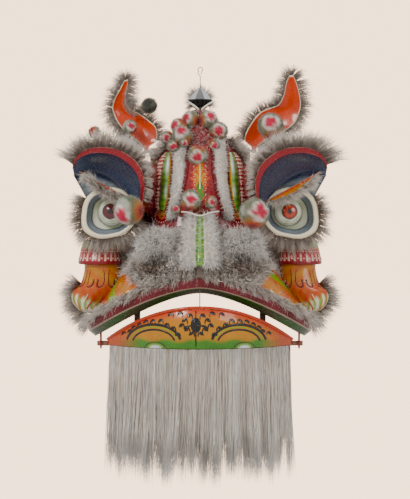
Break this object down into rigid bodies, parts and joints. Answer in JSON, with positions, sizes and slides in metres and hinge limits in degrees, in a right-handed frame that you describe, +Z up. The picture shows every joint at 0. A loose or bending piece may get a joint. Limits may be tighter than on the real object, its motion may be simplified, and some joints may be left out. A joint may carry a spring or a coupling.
{
  "type": "lion dance head mask",
  "caption": "Hollow papier-mache lion dance head with moving jaw, eyelids and ears, fur trim, wool pompoms and a long beard, hung by a wire.",
  "frame": {"origin": "inner top of the hanging wire's loop, where a wall hook bears", "axes": "+Z up, -Y the way the face looks, +X to the right of someone facing it"},
  "size_m": [0.6994, 0.4466, 1.0138],
  "materials": {
    "paper_red": "red lacquered papier-mache",
    "paper_orange": "orange lacquered papier-mache",
    "paper_green": "green lacquered papier-mache with silver relief",
    "paper_blue": "blue-grey lacquered papier-mache",
    "painted_cloth": "painted and varnished cloth, satin",
    "eye_lacquer": "glossy lacquer with a painted iris",
    "fur_grey": "long taupe-grey fur",
    "fur_white": "off-white fur",
    "wool": "grey-green wool with red and pink patches",
    "silver": "polished silver leaf over black",
    "bamboo": "stained bamboo",
    "dark_wood": "dark stained wood",
    "cord": "twisted cord",
    "wire": "dark steel wire"
  },
  "bodies": {
    "head": {"brow_fur_left": "fur_grey", "brow_fur_right": "fur_grey", "brow_left": "paper_red", "brow_right": "paper_red", "cheek_fur_left": "fur_grey", "cheek_fur_right": "fur_grey", "cheek_left": "paper_orange", "cheek_right": "paper_orange", "corner_strap_left": "painted_cloth", "corner_strap_right": "painted_cloth", "eye_cup_left": "paper_blue", "eye_cup_right": "paper_blue", "eye_fur_left": "fur_grey", "eye_fur_right": "fur_grey", "eye_left": "eye_lacquer", "eye_right": "eye_lacquer", "forehead_fur_left": "fur_white", "forehead_fur_right": "fur_white", "forehead_ridge": "paper_red", "hang_wire": "wire", "head_shell": "paper_red", "horn": "silver", "horn_fur": "fur_grey", "jaw_hanger_left": "dark_wood", "jaw_hanger_right": "dark_wood", "muzzle": "paper_orange", "muzzle_fur_left": "fur_grey", "muzzle_fur_right": "fur_grey", "neck_hoop": "bamboo", "nose": "paper_green", "nostril_left": "fur_white", "nostril_right": "fur_white", "pompom_brow_left": "wool", "pompom_brow_right": "wool", "pompom_brow_top": "wool", "pompom_cluster_left": "wool", "pompom_cluster_right": "wool", "pompom_ridge_end": "wool", "pompom_ridge_low": "wool", "pompom_ridge_side": "wool", "pompom_ridge_top": "wool", "temple_band_left": "paper_green", "temple_band_right": "paper_green", "upper_lip": "paper_red"},
    "jaw": {"jaw_pan": "painted_cloth", "jaw_rim": "paper_red", "jaw_rod": "bamboo", "beard": "fur_grey", "jaw_cord": "cord"},
    "eyelid_left": {"eyelid_left": "painted_cloth", "lid_fur_left": "fur_grey"},
    "ear_left": {"ear_left": "painted_cloth", "ear_fur_left": "fur_grey", "ear_pompom_left": "wool", "ear_pompom_dark": "wool"},
    "eyelid_right": {"eyelid_right": "painted_cloth", "lid_fur_right": "fur_grey"},
    "ear_right": {"ear_right": "painted_cloth", "ear_fur_right": "fur_grey", "ear_pompom_right": "wool"}
  },
  "joints": [
    {"name": "jaw_hinge", "type": "hinge", "parent": "head", "child": "jaw", "pos_m": [0, -0.262, -0.684], "axis": [-1, 0, 0], "range_deg": [0, 7], "deforming": ["jaw_cord"]},
    {"name": "eyelid_left_hinge", "type": "hinge", "parent": "head", "child": "eyelid_left", "pos_m": [-0.2175, -0.294, -0.31325], "axis": [0.8749, 0, -0.4842], "range_deg": [0, 35]},
    {"name": "ear_left_hinge", "type": "hinge", "parent": "head", "child": "ear_left", "pos_m": [-0.131, -0.115, -0.216], "axis": [1, 0, 0], "range_deg": [-15, 18]},
    {"name": "eyelid_right_hinge", "type": "hinge", "parent": "head", "child": "eyelid_right", "pos_m": [0.2175, -0.294, -0.31325], "axis": [0.8749, 0, 0.4842], "range_deg": [0, 35]},
    {"name": "ear_right_hinge", "type": "hinge", "parent": "head", "child": "ear_right", "pos_m": [0.131, -0.115, -0.216], "axis": [1, 0, 0], "range_deg": [-15, 18]}
  ]
}
